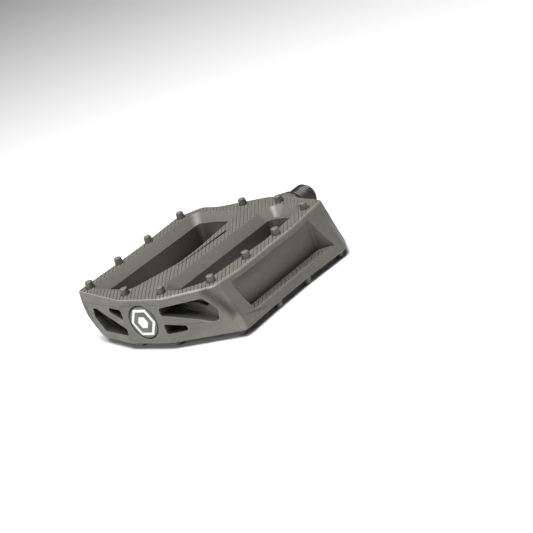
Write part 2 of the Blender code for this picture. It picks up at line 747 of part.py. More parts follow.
def make_dust_cap():
    """A stepped cap with a shallow dome, its hollow side toward the lock nut."""
    face_x = MID_X - HALF_LENGTH
    outer = CAP_BORE - RUNNING_GAP
    skirt = BEARING_BORE - RUNNING_GAP
    back_x = face_x + CAP_FACE
    skirt_x = face_x + CAP_BORE_DEPTH + CAP_SKIRT
    profile = [
        (face_x - CAP_DOME, 0.0), (face_x - CAP_DOME * 0.75, outer / 2), (face_x, outer - CAP_BEVEL),
        (face_x + CAP_BEVEL, outer), (face_x + CAP_BORE_DEPTH - RUNNING_GAP, outer),
        (face_x + CAP_BORE_DEPTH - RUNNING_GAP, skirt), (skirt_x, skirt), (skirt_x, skirt - CAP_WALL),
        (back_x, skirt - CAP_WALL), (back_x, 0.0),
    ]
    cap = add_part("dust_cap", lathe("dust_cap", profile, 56), CAP_PLASTIC)
    round_shading(cap)
    return cap


def make_dust_collar():
    """The nylon collar pressed into the inboard bore; the spindle's neck runs in it."""
    face_x = MID_X + HALF_LENGTH
    inner = NECK_RADIUS + RUNNING_GAP
    profile = [
        (collar_tip_x(), inner), (collar_tip_x(), COLLAR_TIP_RADIUS - COLLAR_BEVEL),
        (collar_tip_x() - COLLAR_BEVEL, COLLAR_TIP_RADIUS), (face_x + COLLAR_RIM, COLLAR_FOOT_RADIUS),
        (face_x + RUNNING_GAP, COLLAR_FOOT_RADIUS), (face_x + RUNNING_GAP, BEARING_BORE - RUNNING_GAP),
        (face_x - COLLAR_SKIRT, BEARING_BORE - RUNNING_GAP), (face_x - COLLAR_SKIRT, inner),
    ]
    collar = add_part("dust_collar", lathe("dust_collar", profile), NYLON)
    round_shading(collar)
    return collar


def make_o_ring():
    """A rubber ring in the neck's groove, just clear of groove and collar."""
    floor = NECK_RADIUS - GROOVE_DEPTH
    thick = (NECK_RADIUS + RUNNING_GAP - floor) / 2 - O_RING_CLEARANCE
    centre = floor + O_RING_CLEARANCE + thick
    ring = arc(groove_x(), centre, thick, 0.0, 360.0, 8)[:-1]
    o_ring = add_part("spindle_o_ring", lathe("spindle_o_ring", ring), RUBBER)
    o_ring.data.shade_smooth()
    return o_ring


clear_scene()
PARTS = new_collection("flat_pedal")
CUTTERS = new_collection("cutters")
MATERIAL = {name: make_material(name) for name in MATERIALS}
make_body()
make_dust_cap()
make_dust_collar()
make_spindle()
make_o_ring()
make_cup("inboard_cup", 1)
make_balls("inboard", 1)
make_cup("outboard_cup", -1)
make_balls("outboard", -1)
make_cone()
make_tab_washer()
make_lock_nut()
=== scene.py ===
# %% [markdown]
# # A moulded flat pedal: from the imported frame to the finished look
# The frame holds every working solid of the pedal in its right place and size. This lesson adds what a
# customer would see: grip ribs on the treads, the thread on the spindle, a printed cap, and finishes with
# grain, flow marks and worn edges. The frame comes first, because each piece takes its place from it.

# %% Load the frame
import json
import math

import bmesh
import bpy
from mathutils import Matrix, Vector

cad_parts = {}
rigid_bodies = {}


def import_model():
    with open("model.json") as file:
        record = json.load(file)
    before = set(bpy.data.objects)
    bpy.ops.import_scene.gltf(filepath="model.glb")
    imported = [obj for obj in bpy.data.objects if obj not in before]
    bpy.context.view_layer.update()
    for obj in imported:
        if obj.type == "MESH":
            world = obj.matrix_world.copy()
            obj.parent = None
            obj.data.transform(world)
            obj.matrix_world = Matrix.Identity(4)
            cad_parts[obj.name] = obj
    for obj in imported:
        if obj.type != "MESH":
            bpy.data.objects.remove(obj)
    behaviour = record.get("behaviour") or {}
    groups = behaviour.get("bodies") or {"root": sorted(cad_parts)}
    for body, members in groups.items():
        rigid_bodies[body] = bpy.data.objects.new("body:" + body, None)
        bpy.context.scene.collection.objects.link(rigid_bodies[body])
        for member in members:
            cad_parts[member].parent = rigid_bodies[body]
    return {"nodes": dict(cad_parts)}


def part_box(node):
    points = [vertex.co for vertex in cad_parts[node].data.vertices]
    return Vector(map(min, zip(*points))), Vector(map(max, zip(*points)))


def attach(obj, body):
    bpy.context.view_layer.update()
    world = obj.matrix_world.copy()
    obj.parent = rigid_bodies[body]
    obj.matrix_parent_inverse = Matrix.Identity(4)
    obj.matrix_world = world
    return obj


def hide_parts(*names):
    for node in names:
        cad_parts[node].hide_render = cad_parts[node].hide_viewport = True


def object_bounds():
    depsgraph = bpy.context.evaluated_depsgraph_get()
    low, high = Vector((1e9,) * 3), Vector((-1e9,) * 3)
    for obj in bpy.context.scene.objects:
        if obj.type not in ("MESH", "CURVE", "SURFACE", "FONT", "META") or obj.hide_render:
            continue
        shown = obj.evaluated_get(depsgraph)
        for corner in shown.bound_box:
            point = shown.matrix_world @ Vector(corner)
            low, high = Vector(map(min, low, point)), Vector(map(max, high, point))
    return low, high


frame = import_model()
cad_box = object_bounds()
body_low, body_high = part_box("pedal_body")
MM = 0.001
print("frame loaded:", len(frame["nodes"]), "solids")
print("body from", [round(length / MM, 1) for length in body_low], "mm")
print("       to", [round(length / MM, 1) for length in body_high], "mm")

# %% [markdown]
# ## The camera
# A pedal is shown best from above one outboard corner, where the tread, the long side and the end are all
# seen. A long lens keeps the far side nearly as large as the near one. The camera leans over sideways, so
# the pedal seems to stand on its corner although it lies level.

# %% Camera
LENS = 119.78
SENSOR_WIDTH = 36.0
CAMERA_PLACE = Vector((-0.66081, -0.60431, 0.28251))
CAMERA_TURN = [math.radians(angle) for angle in (69.7877, 19.0274, -52.8242)]
NEAREST_SEEN = 0.05
FARTHEST_SEEN = 20.0


def make_camera():
    data = bpy.data.cameras.new("camera")
    data.lens = LENS
    data.sensor_width = SENSOR_WIDTH
    data.clip_start = NEAREST_SEEN
    data.clip_end = FARTHEST_SEEN
    camera = bpy.data.objects.new("camera", data)
    bpy.context.scene.collection.objects.link(camera)
    camera.location = CAMERA_PLACE
    camera.rotation_euler = CAMERA_TURN
    bpy.context.scene.camera = camera


make_camera()
print("camera", round(CAMERA_PLACE.length, 3), "m from the crank face, lens", LENS)

# %% [markdown]
# ## The floor
# A product table is a plain pale sweep of paper. The pedal's lowest pins stand on it.

# %% Floor
FLOOR_HALF = 4.0
PAPER = (0.54, 0.54, 0.54, 1.0)


def add_object(name, mesh):
    obj = bpy.data.objects.new(name, mesh)
    bpy.context.scene.collection.objects.link(obj)
    return obj


def make_floor(height):
    bm = bmesh.new()
    level = Matrix.Translation((0, 0, height))
    bmesh.ops.create_grid(bm, x_segments=1, y_segments=1, size=FLOOR_HALF, matrix=level)
    mesh = bpy.data.meshes.new("floor")
    bm.to_mesh(mesh)
    bm.free()
    floor = add_object("floor", mesh)
    material = bpy.data.materials.new("pale_paper")
    material.use_nodes = True
    shader = material.node_tree.nodes["Principled BSDF"]
    shader.inputs["Base Color"].default_value = PAPER
    shader.inputs["Roughness"].default_value = 0.9
    shader.inputs["Specular IOR Level"].default_value = 0.1
    mesh.materials.append(material)


make_floor(cad_box[0][2])
print("floor at", round(cad_box[0][2] / MM, 2), "mm")

# %% [markdown]
# ## The lights
# One wide soft light hangs overhead, a little to the near side, so the treads and the sloping lips shine
# and the hollows fall off to dark. A weaker one at the outboard end lifts the cap's face, and the pale
# surroundings fill the rest.

# %% Lights
PEDAL_CENTRE = (Vector(cad_box[0]) + Vector(cad_box[1])) / 2
SURROUNDINGS = 0.08


def add_light(name, offset, size, power, tint=(1.0, 1.0, 1.0)):
    """A square soft light at an offset from the pedal's middle, aimed at it."""
    data = bpy.data.lights.new(name, "AREA")
    data.shape = "SQUARE"
    data.size = size
    data.energy = power
    data.color = tint
    lamp = bpy.data.objects.new(name, data)
    bpy.context.scene.collection.objects.link(lamp)
    lamp.location = PEDAL_CENTRE + Vector(offset)
    lamp.rotation_euler = (-Vector(offset)).to_track_quat("-Z", "Y").to_euler()


def make_surroundings(strength):
    world = bpy.data.worlds.new("pale_room")
    world.use_nodes = True
    background = world.node_tree.nodes["Background"]
    background.inputs["Color"].default_value = (1.0, 1.0, 1.0, 1.0)
    background.inputs["Strength"].default_value = strength
    bpy.context.scene.world = world


add_light("overhead", (-0.28, -0.13, 1.05), size=0.8, power=40.0)
add_light("outboard_end", (-1.20, 0.15, 0.42), size=0.6, power=6.8, tint=(1.0, 0.985, 0.95))
make_surroundings(SURROUNDINGS)
bpy.context.scene.view_settings.view_transform = "Standard"
bpy.context.scene.view_settings.look = "None"
print("lights:", [light.name for light in bpy.data.lights])

# %% [markdown]
# ## Wiring nodes
# Finishes and generated shapes are both node trees, so both use the same few helpers. A value given to one
# of them is a number, a vector or another node's socket.

# %% Helpers for any node tree


def feed(tree, sockets, values):
    """Sets or links each socket to its value, and leaves it alone where that is None."""
    for socket, value in zip(sockets, values):
        if isinstance(value, bpy.types.NodeSocket):
            tree.links.new(value, socket)
        elif value is not None:
            socket.default_value = value


def add_node(tree, kind, values):
    """A node of this kind, its inputs fed by name."""
    node = tree.nodes.new(kind)
    feed(tree, [node.inputs[name] for name in values], values.values())
    return node


def math_node(tree, operation, first, second=None, clamp=False):
    node = tree.nodes.new("ShaderNodeMath")
    node.operation = operation
    node.use_clamp = clamp
    feed(tree, node.inputs, (first, second))
    return node.outputs["Value"]


def vector_node(tree, operation, first, second=None):
    node = tree.nodes.new("ShaderNodeVectorMath")
    node.operation = operation
    feed(tree, node.inputs, (first, second))
    return node


def combined(tree, x, y, z):
    """One vector from three numbers."""
    return add_node(tree, "ShaderNodeCombineXYZ", {"X": x, "Y": y, "Z": z}).outputs["Vector"]


def separated(tree, vector):
    """The three numbers of a vector, by their names X, Y and Z."""
    return add_node(tree, "ShaderNodeSeparateXYZ", {"Vector": vector}).outputs


def remap(tree, value, low, high, new_low, new_high, smooth=False):
    """Takes low to new_low and high to new_high, straight or smoothly, and stays within them."""
    ends = {"From Min": low, "From Max": high, "To Min": new_low, "To Max": new_high}
    node = add_node(tree, "ShaderNodeMapRange", {"Value": value, **ends})
    if smooth:
        node.interpolation_type = "SMOOTHSTEP"
    return node.outputs["Result"]


# %% [markdown]
# ## Tools for finishes
# Every pattern is laid on Object coordinates, so it stays with its piece when the platform turns. The Bevel
# node tells how near an edge is, which gives both the soft edge that a mould leaves and the mask for wear.
# The Ambient Occlusion node tells how deep a spot lies in a hollow, which paints shade into the colour.

# %% Helpers for finishes
BEVEL_SAMPLES = 6
HOLLOW_SAMPLES = 8
HOLLOW_FROM = 0.50
HOLLOW_TO = 0.95


def new_finish(name):
    material = bpy.data.materials.new(name)
    material.use_nodes = True
    tree = material.node_tree
    return material, tree, tree.nodes["Principled BSDF"]


def coat(tree, shader, colour, roughness, normal):
    """Gives the shader the three values that vary over a surface."""
    sockets = [shader.inputs[label] for label in ("Base Color", "Roughness", "Normal")]
    feed(tree, sockets, (colour, roughness, normal))


def object_coordinates(tree):
    return tree.nodes.new("ShaderNodeTexCoord").outputs["Object"]


def noise(tree, scale, detail, stretch=(1.0, 1.0, 1.0)):
    """Noise in cycles per metre, drawn out along an axis where its stretch is small."""
    mapping = add_node(tree, "ShaderNodeMapping", {"Scale": stretch, "Vector": object_coordinates(tree)})
    values = {"Scale": scale, "Detail": detail, "Vector": mapping.outputs["Vector"]}
    return add_node(tree, "ShaderNodeTexNoise", values).outputs["Fac"]


def mixed(tree, share, first, second):
    """Mixes two colours; each is a tuple or a socket."""
    node = tree.nodes.new("ShaderNodeMix")
    node.data_type = "RGBA"
    colours = [(*colour, 1.0) if isinstance(colour, tuple) else colour for colour in (first, second)]
    factor, colour_a, colour_b = node.inputs[0], node.inputs[6], node.inputs[7]
    feed(tree, (factor, colour_a, colour_b), (share, *colours))
    return node.outputs[2]


def edge_normal(tree, radius):
    bevel = add_node(tree, "ShaderNodeBevel", {"Radius": radius})
    bevel.samples = BEVEL_SAMPLES
    return bevel.outputs["Normal"]


def edge_mask(tree, radius, gain):
    """1 on a sharp edge, falling to 0 within the radius."""
    face_normal = tree.nodes.new("ShaderNodeNewGeometry").outputs["Normal"]
    likeness = vector_node(tree, "DOT_PRODUCT", edge_normal(tree, radius), face_normal).outputs["Value"]
    return math_node(tree, "MULTIPLY", math_node(tree, "SUBTRACT", 1.0, likeness), gain, clamp=True)


def bumped(tree, height, distance, normal=None, strength=1.0):
    values = {"Distance": distance, "Strength": strength, "Height": height, "Normal": normal}
    return add_node(tree, "ShaderNodeBump", values).outputs["Normal"]


def painted_shade_mask(tree, reach):
    """1 deep in a hollow, 0 on an open face; it paints shade into the colour."""
    painted_occlusion = add_node(tree, "ShaderNodeAmbientOcclusion", {"Distance": reach})
    painted_occlusion.samples = HOLLOW_SAMPLES
    painted_occlusion.only_local = True
    return remap(tree, painted_occlusion.outputs["AO"], HOLLOW_FROM, HOLLOW_TO, 1.0, 0.0)


# %% [markdown]
# ## Soft valleys with painted shade, and a parting line
# Where the outboard end turns into a long side, the moulding dips in a soft valley, and a hair-thin parting
# line runs under the upper rim of the end. Both are drawn by distance to a few straight stretches. Their
# points are in millimetres, from the middle of the outboard end. The valley is only a shallow bump, so the
# shade that would fall in it is painted into the colour as a dark band. The valley is there on the
# pedal's other face too, half a turn about the axle away, so its coordinates are folded over first, and
# it is stated once.

# %% Valleys and lines
END_MIDDLE = Vector((body_low[0], 0.0, 0.0))
VALLEY = ((10.2, -36.8, 10.2), (13.6, -46.2, -3.0))
VALLEY_REACH = 4.2 * MM
VALLEY_DEPTH = 0.2 * MM
# How far the valley's painted shade pulls the colour to the dark.
PAINTED_VALLEY_SHADE = 0.92
PARTING = (((0, 44.0, 7.0), (0, 13.0, 8.4), (0, 3.0, 9.4)), ((0, -7.0, 9.4), (0, -14.0, 8.6)))
PARTING_HALF = 0.22 * MM
PARTING_SHADE = 0.8
END_DEPTH = 16.5 * MM
ALL_AXES = (1.0, 1.0, 1.0)
ACROSS_THE_END = (0.0, 1.0, 1.0)


def folded(tree):
    """Object coordinates, with the far half turned over about the axle onto the near one."""
    place = separated(tree, object_coordinates(tree))
    side = math_node(tree, "MULTIPLY", math_node(tree, "SIGN", place["Y"]), -1.0)
    near_y = math_node(tree, "MULTIPLY", place["Y"], side)
    near_z = math_node(tree, "MULTIPLY", place["Z"], side)
    return combined(tree, place["X"], near_y, near_z)


def from_stretch(tree, place, start, end, axes):
    """Distance from a straight stretch, measured along the axes that are 1 and not along those that are 0."""
    first = END_MIDDLE + Vector(start) * MM
    along = (Vector(end) - Vector(start)) * MM * Vector(axes)
    offset = vector_node(tree, "SUBTRACT", place, first).outputs["Vector"]
    offset = vector_node(tree, "MULTIPLY", offset, Vector(axes)).outputs["Vector"]
    share = vector_node(tree, "DOT_PRODUCT", offset, along / along.length_squared).outputs["Value"]
    reached = vector_node(tree, "SCALE", along)
    feed(tree, [reached.inputs["Scale"]], [math_node(tree, "ADD", share, 0.0, clamp=True)])
    gap = vector_node(tree, "SUBTRACT", offset, reached.outputs["Vector"]).outputs["Vector"]
    return vector_node(tree, "LENGTH", gap).outputs["Value"]


def valley_mask(tree):
    distance = from_stretch(tree, folded(tree), *VALLEY, ALL_AXES)
    return remap(tree, distance, 0.0, VALLEY_REACH, 1.0, 0.0, smooth=True)


def parting_mask(tree):
    """1 on the line, within the outboard end's depth only."""
    place = object_coordinates(tree)
    near = None
    for run in PARTING:
        for start, end in zip(run, run[1:]):
            distance = from_stretch(tree, place, start, end, ACROSS_THE_END)
            near = distance if near is None else math_node(tree, "MINIMUM", near, distance)
    line = remap(tree, near, PARTING_HALF / 2, PARTING_HALF, 1.0, 0.0)
    at_end = math_node(tree, "LESS_THAN", separated(tree, place)["X"], body_low[0] + END_DEPTH)
    return math_node(tree, "MULTIPLY", line, at_end)


# %% [markdown]
# ## Moulded nylon
# Glass-filled nylon is matt and slightly mottled: short glass fibres give it a fine salt-and-pepper grain,
# and the melt leaves faint streaks where it flowed. Handling polishes and pales its edges. Deep hollows get
# painted shade: their colour is darkened by how deep they lie. The grain, the mottle and the streaks are
# noise of three sizes, in cycles per metre.

# %% Nylon
GRAIN = 2600.0
MOTTLE = 420.0
STREAKS = 60.0
STREAK_STRETCH = (0.35, 1.4, 1.4)
HOLLOW_REACH = 40.0 * MM
# The dark that painted shade in hollows and valleys, and the parting line, mix towards.
PAINTED_SHADE_AND_SEAM_DARK = (0.016, 0.015, 0.011)
RUBBED_REACH = 0.45 * MM
MOULD_EDGE = 0.35 * MM
GRAIN_RELIEF = 0.025 * MM


def nylon_finish(name, pale, dark, worn, roughness=0.50, painted_occlusion=0.95, marked=False):
    """Nylon between two colours, its edges rubbed to a third, shade painted into its hollows; marked adds the
    valleys and their painted shade.
    """
    material, tree, shader = new_finish(name)
    grain = noise(tree, GRAIN, 2.0)
    mottle = noise(tree, MOTTLE, 4.0)
    streaks = noise(tree, STREAKS, 3.0, STREAK_STRETCH)
    speckled = mixed(tree, remap(tree, grain, 0.30, 0.70, 0.0, 1.0), dark, pale)
    cloudy = mixed(tree, remap(tree, mottle, 0.35, 0.65, 0.0, 0.5), speckled, pale)
    flowed = mixed(tree, remap(tree, streaks, 0.40, 0.65, 0.0, 0.35), cloudy, dark)
    patchy = remap(tree, mottle, 0.30, 0.60, 0.35, 1.0)
    rubbed = math_node(tree, "MULTIPLY", edge_mask(tree, RUBBED_REACH, 2.2), patchy)
    handled = mixed(tree, rubbed, flowed, worn)
    painted_shade = math_node(tree, "MULTIPLY", painted_shade_mask(tree, HOLLOW_REACH), painted_occlusion)
    # Painted shade: the colour darkens towards near black deep in hollows, by ambient occlusion.
    colour = mixed(tree, painted_shade, handled, PAINTED_SHADE_AND_SEAM_DARK)
    soft_edges = edge_normal(tree, MOULD_EDGE)
    if marked:
        valley = valley_mask(tree)
        # Painted shade in the valley; the parting line's own dark joins it in the same mix.
        painted_valley_shade = math_node(tree, "MULTIPLY", valley, PAINTED_VALLEY_SHADE)
        on_line = math_node(tree, "MULTIPLY", parting_mask(tree), PARTING_SHADE)
        colour = mixed(tree, math_node(tree, "MAXIMUM", painted_valley_shade, on_line), colour, PAINTED_SHADE_AND_SEAM_DARK)
        soft_edges = bumped(tree, math_node(tree, "MULTIPLY", valley, -1.0), VALLEY_DEPTH, soft_edges)
    sheen = remap(tree, streaks, 0.3, 0.7, roughness - 0.06, roughness + 0.08)
    relief = math_node(tree, "ADD", grain, math_node(tree, "MULTIPLY", mottle, 1.5))
    normal = bumped(tree, relief, GRAIN_RELIEF, soft_edges, 0.8)
    coat(tree, shader, colour, sheen, normal)
    return material


nylon = nylon_finish("moulded_nylon", (0.096, 0.093, 0.079), (0.053, 0.050, 0.040), (0.24, 0.235, 0.21),
                     marked=True)
# A darker copy of the nylon for the ledge ribs: painted shade, for the ledges lie in the shadow of the
# treads.
painted_shade_nylon = nylon_finish("painted_shade_nylon", (0.062, 0.060, 0.051), (0.036, 0.034, 0.028),
                               (0.20, 0.195, 0.18))
# A paler copy of the nylon for the beads: partly rubbed wear, partly a painted highlight for the bright bead
# line; it has no painted hollow shade.
worn_and_highlight_nylon = nylon_finish("worn_and_highlight_nylon", (0.20, 0.196, 0.178), (0.12, 0.117, 0.103),
                            (0.27, 0.265, 0.245), roughness=0.40, painted_occlusion=0.0)
collar_plastic = nylon_finish("collar_plastic", (0.088, 0.085, 0.074), (0.052, 0.049, 0.041),
                              (0.2, 0.195, 0.18), roughness=0.42)
for made in (nylon, painted_shade_nylon, worn_and_highlight_nylon, collar_plastic):
    print("finish:", made.name, "with", len(made.node_tree.nodes), "nodes")

# %% [markdown]
# ## The body
# The frame's body has the right shape, but as loose triangles. A copy is merged into one skin and shaded
# smooth between its sharp edges. Its flat faces keep their own normals (Weighted Normal), so the large
# planes stay plane beside the small curved ones.

# %% Body
WELD = 0.002 * MM
BODY_CREASE = 24.0
TURNED_CREASE = 35.0
FLAT_FACE_WEIGHT = 100


def merged_copy(node_name, piece_name, material):
    """A copy of a frame solid as one skin, without the stored normals, which no longer fit it."""
    mesh = frame["nodes"][node_name].data.copy()
    mesh.name = piece_name
    bm = bmesh.new()
    bm.from_mesh(mesh)
    bmesh.ops.remove_doubles(bm, verts=bm.verts, dist=WELD)
    bm.to_mesh(mesh)
    bm.free()
    if "custom_normal" in mesh.attributes:
        mesh.attributes.remove(mesh.attributes["custom_normal"])
    mesh.materials.clear()
    mesh.materials.append(material)
    return add_object(piece_name, mesh)


def smooth_between_edges(obj, degrees):
    obj.data.shade_smooth()
    obj.data.set_sharp_from_angle(angle=math.radians(degrees))
    weighted = obj.modifiers.new("plane_faces", "WEIGHTED_NORMAL")
    weighted.keep_sharp = True
    weighted.weight = FLAT_FACE_WEIGHT


body = merged_copy("pedal_body", "platform_body", nylon)
smooth_between_edges(body, BODY_CREASE)
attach(body, "platform")
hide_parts("pedal_body")
print("body:", len(body.data.polygons), "faces")

# %% [markdown]
# ## Where the ribs and beads go
# The treads and the ledges below them are the two largest level faces that look up. They are found on the
# body itself, so they are right whatever its size. The pins leave round holes in the tread's face, which
# are filled, so that the ribs run into the pins' feet.

# %% Level faces
LEVEL_NORMAL = 0.999
LEVEL_GAP = 0.02 * MM
STRAIGHT = math.radians(1.0)
PIN_REACH = 6.0 * MM
SIDE_TO_WEB = 9.87 * MM
WEB_FACE = body_low[1] + SIDE_TO_WEB


def flat_levels(mesh):
    """Heights of the body's level faces that look up, with the area at each, largest first."""
    areas = {}
    for face in mesh.polygons:
        if face.normal.z > LEVEL_NORMAL:
            level = round(face.center.z, 5)
            areas[level] = areas.get(level, 0.0) + face.area
    return sorted(areas.items(), key=lambda item: -item[1])


def boundary_loops(bm):
    """The open edges, gathered into runs that join end to end. A dict keeps their order, a set would not."""
    edges = dict.fromkeys(edge for edge in bm.edges if edge.is_boundary)
    loops = []
    while edges:
        edge = edges.popitem()[0]
        loop = [edge]
        vert = edge.verts[1]
        while True:
            following = [other for other in vert.link_edges if other in edges]
            if not following:
                break
            del edges[following[0]]
            loop.append(following[0])
            vert = following[0].other_vert(vert)
        loops.append(loop)
    return loops


def fill_pin_holes(bm):
    for loop in boundary_loops(bm):
        xs = [vert.co.x for edge in loop for vert in edge.verts]
        ys = [vert.co.y for edge in loop for vert in edge.verts]
        if max(xs) - min(xs) < PIN_REACH and max(ys) - min(ys) < PIN_REACH:
            bmesh.ops.contextual_create(bm, geom=loop)


def level_faces(level, keep):
    """The body's faces at one level that keep() accepts, its pin holes filled."""
    bm = bmesh.new()
    bm.from_mesh(body.data)
    wrong = []
    for face in bm.faces:
        middle = face.calc_center_median()
        if face.normal.z < LEVEL_NORMAL or abs(middle.z - level) > LEVEL_GAP or not keep(middle):
            wrong.append(face)
    bmesh.ops.delete(bm, geom=wrong, context="FACES")
    bmesh.ops.remove_doubles(bm, verts=bm.verts, dist=LEVEL_GAP)
    fill_pin_holes(bm)
    bmesh.ops.dissolve_limit(bm, angle_limit=STRAIGHT, verts=bm.verts, edges=bm.edges)
    return bm


def anywhere(place):
    return True


def on_near_ledge(place):
    return place.y < WEB_FACE


def draw_in(bm, distance):
    """Takes a rim of this width off the faces."""
    rim = bmesh.ops.inset_region(bm, faces=list(bm.faces), thickness=distance, use_boundary=True,
                                 use_even_offset=True)
    bmesh.ops.delete(bm, geom=rim["faces"], context="FACES")


def new_piece(name, bm):
    mesh = bpy.data.meshes.new(name)
    bm.to_mesh(mesh)
    bm.free()
    return add_object(name, mesh)


TREAD, LEDGE = (level for level, area in flat_levels(body.data)[:2])
print("tread at", round(TREAD / MM, 2), "mm, ledge at", round(LEDGE / MM, 2), "mm")

# %% [markdown]
# ## Geometry Nodes, the common part
# Every tree here starts with named inputs, and ends by making its instances real and giving them their
# material. Its result then replaces the object's mesh, so nothing is left to be worked out later.

# %% Start, end and use of a tree


def new_tree(name, inputs, output):
    """A tree with these inputs, each as name, kind and value or None, and one output of geometry."""
    tree = bpy.data.node_groups.new(name, "GeometryNodeTree")
    for label, kind, value in inputs:
        socket = tree.interface.new_socket(name=label, in_out="INPUT", socket_type="NodeSocket" + kind)
        if value is not None:
            socket.default_value = value
    tree.interface.new_socket(name=output, in_out="OUTPUT", socket_type="NodeSocketGeometry")
    return tree, tree.nodes.new("NodeGroupInput").outputs


def end_tree(tree, geometry, finish):
    """Real geometry with its material, passed to the tree's output."""
    whole = add_node(tree, "GeometryNodeRealizeInstances", {"Geometry": geometry})
    values = {"Geometry": whole.outputs["Geometry"], "Material": finish}
    coated = add_node(tree, "GeometryNodeSetMaterial", values)
    tree.links.new(coated.outputs["Geometry"], tree.nodes.new("NodeGroupOutput").inputs[0])


def run_tree(obj, tree, values):
    """Gives the object the tree with these inputs, and swaps its mesh for the result."""
    modifier = obj.modifiers.new(tree.name, "NODES")
    modifier.node_group = tree
    for item in tree.interface.items_tree:
        if item.item_type == "SOCKET" and item.in_out == "INPUT" and item.name in values:
            modifier[item.identifier] = values[item.name]
    graph = bpy.context.evaluated_depsgraph_get()
    made = bpy.data.meshes.new_from_object(obj.evaluated_get(graph))
    obj.modifiers.clear()
    obj.data = made
    return obj


# %% [markdown]
# ## Grip ribs
# The treads and ledges carry fine slanting ribs for grip. They stop just short of every edge, which leaves a
# narrow smooth rim. A rib could be drawn by a bump map, but then the outline of the tread would stay smooth,
# so these are solid. Geometry Nodes lays a row of bars over the whole tread, each a little narrower at its
# top, and keeps only what lies inside a plate cut to the tread's outline.

# %% The tree of the ribs
RIB_PITCH = 1.95 * MM
RIB_WIDTH = 1.70 * MM
RIB_HEIGHT = 0.34 * MM
RIB_SINK = 0.10 * MM
RIB_TAPER = 0.12 * MM
RIB_TURN = math.radians(36.9)
RIB_LENGTH = 220.0 * MM
RIB_COUNT = 90
RIM = 0.45 * MM


def row_of_bars(tree, given):
    """Tapered bars side by side along Y, with the middle of the row at the origin."""
    thickness = math_node(tree, "ADD", given["Height"], RIB_SINK)
    size = combined(tree, given["Length"], given["Width"], thickness)
    bar = add_node(tree, "GeometryNodeMeshCube", {"Size": size})
    place = separated(tree, tree.nodes.new("GeometryNodeInputPosition").outputs["Position"])
    inset = math_node(tree, "MULTIPLY", given["Taper"], -1.0)
    inward = math_node(tree, "MULTIPLY", math_node(tree, "SIGN", place["Y"]), inset)
    tapered = add_node(tree, "GeometryNodeSetPosition", {
        "Geometry": bar.outputs["Mesh"],
        "Selection": math_node(tree, "GREATER_THAN", place["Z"], 0.0),
        "Offset": combined(tree, 0.0, inward, 0.0),
    })
    gaps = math_node(tree, "MULTIPLY", math_node(tree, "SUBTRACT", given["Bars"], 1), -0.5)
    row = add_node(tree, "GeometryNodeMeshLine", {
        "Count": given["Bars"],
        "Start Location": combined(tree, 0.0, math_node(tree, "MULTIPLY", given["Pitch"], gaps), 0.0),
        "Offset": combined(tree, 0.0, given["Pitch"], 0.0),
    })
    values = {"Points": row.outputs["Mesh"], "Instance": tapered.outputs["Geometry"]}
    bars = add_node(tree, "GeometryNodeInstanceOnPoints", values)
    return add_node(tree, "GeometryNodeRealizeInstances", {"Geometry": bars.outputs["Instances"]})


def rib_tree():
    inputs = (("Plate", "Geometry", None), ("Pitch", "Float", RIB_PITCH), ("Width", "Float", RIB_WIDTH),
              ("Height", "Float", RIB_HEIGHT), ("Taper", "Float", RIB_TAPER), ("Turn", "Float", RIB_TURN),
              ("Bars", "Int", RIB_COUNT), ("Length", "Float", RIB_LENGTH), ("Middle", "Vector", None),
              ("Finish", "Material", None))
    tree, given = new_tree("slanting_ribs", inputs, "Ribs")
    turned = add_node(tree, "GeometryNodeTransform", {
        "Geometry": row_of_bars(tree, given).outputs["Geometry"],
        "Rotation": combined(tree, 0.0, 0.0, given["Turn"]),
        "Translation": given["Middle"],
    })
    inside = tree.nodes.new("GeometryNodeMeshBoolean")
    inside.operation = "INTERSECT"
    inside.solver = "MANIFOLD"
    tree.links.new(turned.outputs["Geometry"], inside.inputs["Mesh 2"])
    tree.links.new(given["Plate"], inside.inputs["Mesh 2"])
    end_tree(tree, inside.outputs["Mesh"], given["Finish"])
    return tree


ribs_tree = rib_tree()
print("tree:", ribs_tree.name, "with", len(ribs_tree.nodes), "nodes")

# %% [markdown]
# The lower tread and the far ledge are the same as the upper tread and the near ledge after half a turn
# about the spindle, so each kind is made once and copied.

# %% Ribs on the treads and ledges
BODY_MIDDLE_X = (body_low[0] + body_high[0]) / 2


def rib_plate(name, bm, level):
    """The faces drawn in by the rim and given thickness: a closed plate round the ribs' level."""
    draw_in(bm, RIM)
    for vert in bm.verts:
        vert.co.z = level - 2 * RIB_SINK
    grown = bmesh.ops.extrude_face_region(bm, geom=list(bm.faces), use_keep_orig=True)
    for vert in [part for part in grown["geom"] if isinstance(part, bmesh.types.BMVert)]:
        vert.co.z = level + 2 * RIB_HEIGHT
    bmesh.ops.recalc_face_normals(bm, faces=bm.faces)
    return new_piece(name, bm)


def make_ribs(name, level, keep, finish):
    plate = rib_plate(name, level_faces(level, keep), level)
    middle = (BODY_MIDDLE_X, 0.0, level + (RIB_HEIGHT - RIB_SINK) / 2)
    return run_tree(plate, ribs_tree, {"Middle": middle, "Finish": finish})


def add_to_platform(obj):
    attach(obj, "platform")


def add_with_twin(obj, twin_name):
    """Puts the object on the platform, and a copy of it after half a turn about the spindle."""
    mesh = obj.data.copy()
    mesh.transform(Matrix.Rotation(math.pi, 4, "X"))
    add_to_platform(obj)
    add_to_platform(add_object(twin_name, mesh))


tread_ribs = make_ribs("tread_ribs_upper", TREAD, anywhere, nylon)
